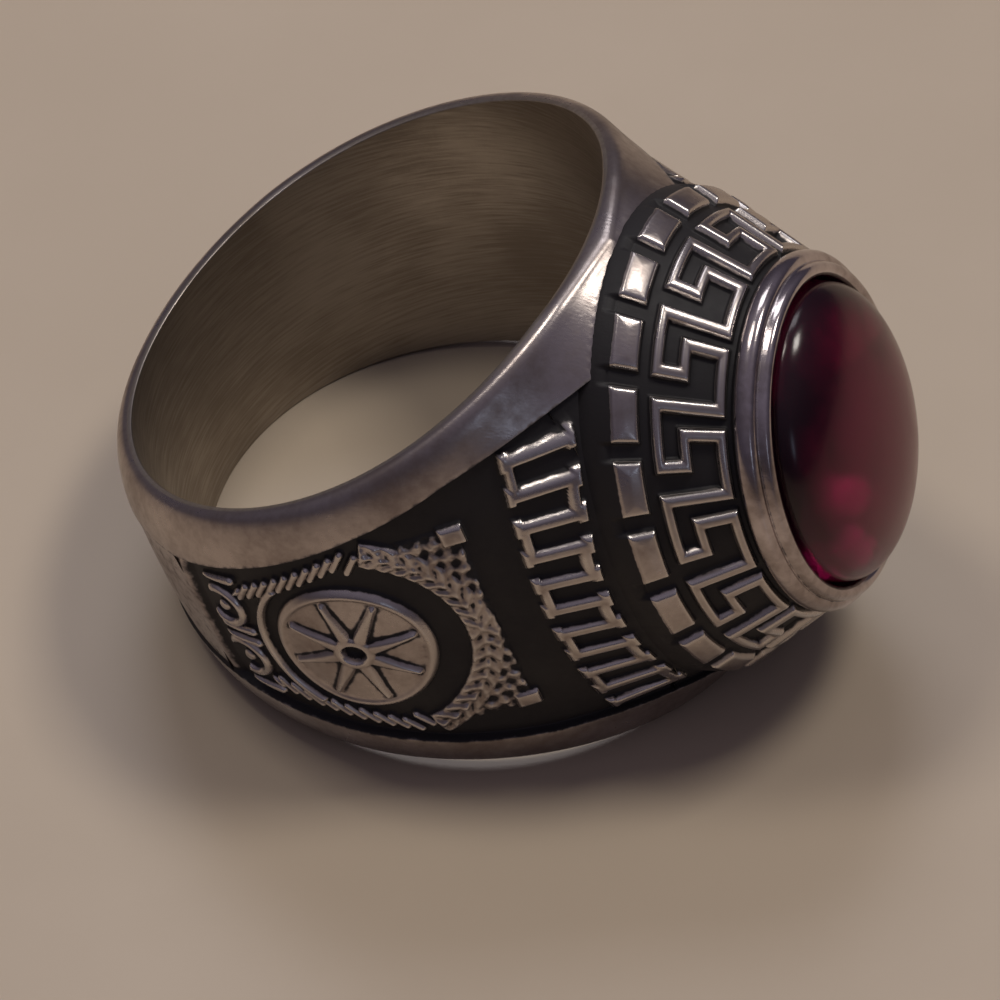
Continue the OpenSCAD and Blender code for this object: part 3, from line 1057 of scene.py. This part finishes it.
class Effects:
    """Shader effects that more than one finish uses, each built once."""

    def __init__(self) -> None:
        """Builds the node groups."""
        self.patina = effect(
            "patina", {"Vector": "Vector", "Recess": "Float", "Worn": "Float", "Polish": "Float",
                       "Clean": "Color", "Dull": "Color", "Oxide": "Color"},
            {"Color": "Color", "Oxide": "Float", "Roughness": "Float"}, self.build_patina)
        self.wear = effect("fine_wear", {"Vector": "Vector"}, {"Height": "Float"}, self.build_wear)

    @staticmethod
    def build_patina(nodes: Nodes, inputs: dict) -> dict:
        """Oxide in the hollows, broken up by noise, over metal dull in patches and bright where worn."""
        fine = nodes.noise(inputs["Vector"], 2600.0, 5.0, 0.6)
        coarse = nodes.noise(inputs["Vector"], 260.0, 3.0, 0.55)
        shift = nodes.math("MULTIPLY", nodes.math("SUBTRACT", fine, 0.5), 0.8)
        oxide = nodes.ramp(nodes.math("ADD", inputs["Recess"], shift), 0.3, 0.72)
        dull = nodes.math("MULTIPLY", nodes.ramp(nodes.mean(coarse, fine, 0.7), 0.35, 0.68),
                          nodes.math("SUBTRACT", 1.0, inputs["Worn"], clamp=True))
        metal = nodes.blend(dull, inputs["Clean"], inputs["Dull"])
        metal = nodes.blend(nodes.math("MULTIPLY", inputs["Worn"], 0.6), metal, WORN_METAL)
        rough = nodes.math("ADD", inputs["Polish"], nodes.math("MULTIPLY", dull, 0.14))
        rough = nodes.math("ADD", rough, nodes.math("MULTIPLY", oxide, 0.3))
        return {"Color": nodes.blend(oxide, metal, inputs["Oxide"]), "Oxide": oxide, "Roughness": rough}

    @staticmethod
    def build_wear(nodes: Nodes, inputs: dict) -> dict:
        """Fine pitting and short scratches: noise, and noise stretched along one direction."""
        pits = nodes.noise(inputs["Vector"], 3200.0, 4.0, 0.6)
        long = nodes.add("Mapping", {"Vector": inputs["Vector"], "Rotation": (0.3, 0.5, 0.9),
                                     "Scale": (1.0, 9.0, 9.0)}).outputs["Vector"]
        return {"Height": nodes.mean(pits, nodes.noise(long, 1200.0, 2.0, 0.5), 0.6)}


def new_material(name: str) -> tuple[Material, Nodes, bpy.types.Node]:
    """An empty material with its nodes and its Principled BSDF."""
    material = bpy.data.materials.new(name)
    material.use_nodes = True
    nodes = Nodes(material.node_tree)
    return material, nodes, material.node_tree.nodes["Principled BSDF"]


@dataclass(frozen=True)
class CastMetal:
    """White alloy as cast, antiqued, and polished on its high parts, where polish is its roughness."""

    name: str = "antiqued_alloy"
    polish: float = 0.26
    clean: Colour = (0.53, 0.475, 0.455, 1.0)
    dull: Colour = (0.3, 0.25, 0.232, 1.0)
    oxide: Colour = (0.018, 0.016, 0.018, 1.0)
    bump: float = 0.12

    def material(self, effects: Effects) -> Material:
        """The finish, led by the attributes recess and worn."""
        material, nodes, shader = new_material(self.name)
        vector = nodes.add("TexCoord").outputs["Object"]
        patina = nodes.add("Group", {
            "Vector": vector, "Recess": nodes.attribute("recess"), "Worn": nodes.attribute("worn"),
            "Polish": self.polish, "Clean": self.clean, "Dull": self.dull, "Oxide": self.oxide,
        }, node_tree=effects.patina).outputs
        wear = nodes.add("Group", {"Vector": vector}, node_tree=effects.wear).outputs["Height"]
        bare = nodes.math("SUBTRACT", 1.0, nodes.math("MULTIPLY", patina["Oxide"], 0.85))
        nodes.put(shader, {"Base Color": patina["Color"], "Roughness": patina["Roughness"],
                           "Metallic": bare, "Normal": nodes.bump(wear, self.bump, METAL_GRAIN)})
        return material


@dataclass(frozen=True)
class BoreMetal:
    """The inside of the band: worn smooth by the finger, with faint rubbing round it."""

    name: str = "worn_alloy"
    clean: Colour = (0.5, 0.455, 0.41, 1.0)
    dull: Colour = (0.33, 0.285, 0.24, 1.0)

    def material(self, effects: Effects) -> Material:
        """The finish, with streaks that follow the attributes around and along."""
        material, nodes, shader = new_material(self.name)
        streak = nodes.add("CombineXYZ", {"X": nodes.math("MULTIPLY", nodes.attribute("around"), 1.5),
                                          "Y": nodes.math("MULTIPLY", nodes.attribute("along"), 3.0)})
        lines = nodes.noise(streak.outputs["Vector"], 3.0, 6.0, 0.65)
        vector = nodes.add("TexCoord").outputs["Object"]
        share = nodes.ramp(nodes.mean(lines, nodes.noise(vector, 180.0, 3.0, 0.5), 0.5), 0.35, 0.65)
        wear = nodes.add("Group", {"Vector": vector}, node_tree=effects.wear).outputs["Height"]
        nodes.put(shader, {"Base Color": nodes.blend(share, self.clean, self.dull), "Metallic": 1.0,
                           "Roughness": nodes.math("ADD", 0.34, nodes.math("MULTIPLY", share, 0.14)),
                           "Normal": nodes.bump(nodes.mean(lines, wear, 0.7), 0.1, METAL_GRAIN)})
        return material


@dataclass(frozen=True)
class RedStone:
    """Deep red synthetic stone, polished, with faint marks in its polish, and painted light in its colour: a
    painted glow and painted shade.
    """

    name: str = "deep_red_stone"
    # The first colour is the painted glow, where light seems to pass through the stone; shade is the painted
    # shade.
    painted_glow_red: Colour = (0.48, 0.009, 0.098, 1.0)
    shade: Colour = (0.029, 0.001, 0.012, 1.0)
    polish: tuple[float, float] = (0.17, 0.24)

    def material(self) -> Material:
        """Clear red glass with painted light: its colour runs from painted shade to a painted glow, lightest
        in the dome and towards one end, and drifts a little at random besides.
        """
        material, nodes, shader = new_material(self.name)
        vector = nodes.add("TexCoord").outputs["Object"]
        drift = nodes.math("SUBTRACT", nodes.noise(vector, 420.0, 4.0, 0.6), 0.5)
        # Painted light: the attribute blends the colour from painted shade to the painted glow.
        painted_glow_share = nodes.ramp(nodes.math("ADD", nodes.attribute("zone"), drift), -0.1, 1.1)
        marks = nodes.noise(vector, 900.0, 4.0, 0.6)
        nodes.put(shader, {"Base Color": nodes.blend(painted_glow_share, self.shade, self.painted_glow_red),
                           "Transmission Weight": 0.72, "IOR": 1.5,
                           "Roughness": nodes.ramp(marks, 0.4, 0.75, *self.polish)})
        return material


@dataclass(frozen=True)
class Tabletop:
    """Pale tan table with a soft sheen and a faint mottle."""

    name: str = "pale_table"
    light: Colour = (0.61, 0.495, 0.372, 1.0)
    deep: Colour = (0.59, 0.478, 0.358, 1.0)

    def material(self) -> Material:
        """The finish of the floor."""
        material, nodes, shader = new_material(self.name)
        vector = nodes.add("TexCoord").outputs["Object"]
        mottle, fine = nodes.noise(vector, 45.0, 6.0, 0.6), nodes.noise(vector, 1500.0, 3.0, 0.6)
        nodes.put(shader, {"Base Color": nodes.blend(nodes.ramp(mottle, 0.35, 0.65), self.light, self.deep),
                           "Roughness": nodes.ramp(mottle, 0.3, 0.7, 0.34, 0.37),
                           "Normal": nodes.bump(fine, 0.05, TABLE_GRAIN)})
        return material


# Room


@dataclass(frozen=True)
class Lamp:
    """A soft lamp, turned towards the origin: its place in metres, its size, its power and its colour."""

    name: str
    place: tuple[float, float, float]
    size: tuple[float, float]
    power: float
    colour: tuple[float, float, float] = (1.0, 0.95, 0.865)

    def build(self) -> None:
        """Adds the lamp, facing the ring."""
        data = bpy.data.lights.new(self.name, "AREA")
        data.shape = "RECTANGLE"
        data.size, data.size_y = self.size
        data.energy = self.power
        data.color = self.colour
        lamp = bpy.data.objects.new(self.name, data)
        lamp.location = self.place
        lamp.rotation_euler = (-Vector(self.place)).to_track_quat("-Z", "Y").to_euler()
        bpy.context.scene.collection.objects.link(lamp)


@dataclass(frozen=True)
class Camera:
    """The photograph's view: place and aim in mm, roll in degrees, and lens for a 36 mm wide frame."""

    place: tuple[float, float, float] = (69.48, -173.51, 225.52)
    aim: tuple[float, float, float] = (0.287, -3.058, 6.996)
    roll: float = -4.42
    lens: float = 284.6
    sensor: float = 36.0

    def build(self) -> None:
        """Adds the camera and makes it the scene's own."""
        data = bpy.data.cameras.new("photo_view")
        data.lens, data.sensor_width = self.lens, self.sensor
        data.clip_start, data.clip_end = 0.01, 10.0
        camera = bpy.data.objects.new("photo_view", data)
        place, aim = Vector(self.place) * MM, Vector(self.aim) * MM
        turn = (aim - place).to_track_quat("-Z", "Y").to_matrix()
        turn = turn @ Matrix.Rotation(math.radians(self.roll), 3, "Z")
        camera.matrix_world = Matrix.Translation(place) @ turn.to_4x4()
        bpy.context.scene.collection.objects.link(camera)
        bpy.context.scene.camera = camera


@dataclass(frozen=True)
class Room:
    """The floor, the lamps and the light of the room around them."""

    floor_half: float = 0.6
    horizon: Colour = (0.052, 0.045, 0.062, 1.0)
    ceiling: Colour = (0.166, 0.148, 0.188, 1.0)
    lamps: tuple[Lamp, ...] = (
        Lamp("right_lamp", (0.18, 0.15, 0.5), (0.12, 0.12), 0.77),
        Lamp("left_lamp", (-0.2, 0.035, 0.52), (0.12, 0.12), 0.5),
        Lamp("back_window", (-0.12, 0.3, 0.42), (0.2, 0.16), 0.28, (0.97, 0.96, 1.0)),
        Lamp("front_window", (0.3, -0.35, 0.17), (0.05, 0.1), 0.02, (0.65, 0.78, 1.0)))

    def build(self) -> None:
        """Adds the floor, the lamps and the room's own light, which is dimmer towards the horizon."""
        half = self.floor_half
        square = [(-half, -half, 0), (half, -half, 0), (half, half, 0), (-half, half, 0)]
        mesh = bpy.data.meshes.new("floor")
        mesh.from_pydata(square, [], [(0, 1, 2, 3)])
        mesh.materials.append(Tabletop().material())
        floor = bpy.data.objects.new("floor", mesh)
        bpy.context.scene.collection.objects.link(floor)
        floor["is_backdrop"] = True
        for lamp in self.lamps:
            lamp.build()
        world = bpy.data.worlds.new("room")
        world.use_nodes = True
        nodes = Nodes(world.node_tree)
        height = nodes.add("SeparateXYZ", {"Vector": nodes.add("TexCoord").outputs["Generated"]}).outputs["Z"]
        colour = nodes.blend(nodes.ramp(height, 0.0, 1.0), self.horizon, self.ceiling)
        nodes.put(world.node_tree.nodes["Background"], {"Color": colour})
        bpy.context.scene.world = world
        bpy.context.scene.view_settings.view_transform = "Standard"
        bpy.context.scene.cycles.caustics_reflective = False


def corners(box: tuple[Vector, Vector]) -> list[list[float]]:
    """The two corners of a box as plain lists."""
    return [list(corner) for corner in box]


def sectors() -> list[BandSector]:
    """The band's stretches: behind the panels, under the head, and one on each side."""
    made = [BandSector("band_back", PANEL_REACH, 360.0 - PANEL_REACH, 130, 60),
            BandSector("band_front", -HEAD_REACH, HEAD_REACH, 260, 120)]
    for side in Side:
        start, stop = sorted((side.value * HEAD_REACH, side.value * PANEL_REACH))
        made.append(BandSector(f"side_{side.name.lower()}", start, stop, 350, 220))
    return made


def main() -> None:
    """Builds the ring, its finishes and the room, in that order."""
    logging.basicConfig(level=logging.INFO, format="%(message)s")
    cad_box = corners(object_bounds())
    pose = Pose.from_record(frame["record"])
    casting, panel, head, bezel, stone = Casting(pose.bore), PanelRelief(), Head(), Bezel(), Stone()
    effects = Effects()
    cast, bore = CastMetal().material(effects), BoreMetal().material(effects)
    polished = CastMetal("polished_alloy", 0.13, (0.66, 0.595, 0.6, 1.0), bump=0.06).material(effects)
    body = [(sector.name, sector.surface(casting, panel), [cast, bore]) for sector in sectors()]
    body.append((head.name, head.surface(casting, HeadRelief()), [cast]))
    body.append((bezel.name, bezel.surface(casting), [polished]))
    for name, surface, finishes in body:
        piece = surface.piece(name, pose, finishes)
        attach(piece, "root")
        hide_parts("ring_body")
    piece = stone.surface().piece(stone.name, pose, [RedStone().material()])
    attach(piece, "root")
    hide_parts("stone")
    Room().build()
    Camera().build()
    json.dumps({"cad": cad_box, "visual": corners(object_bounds())})


if __name__ == "__main__":
    main()
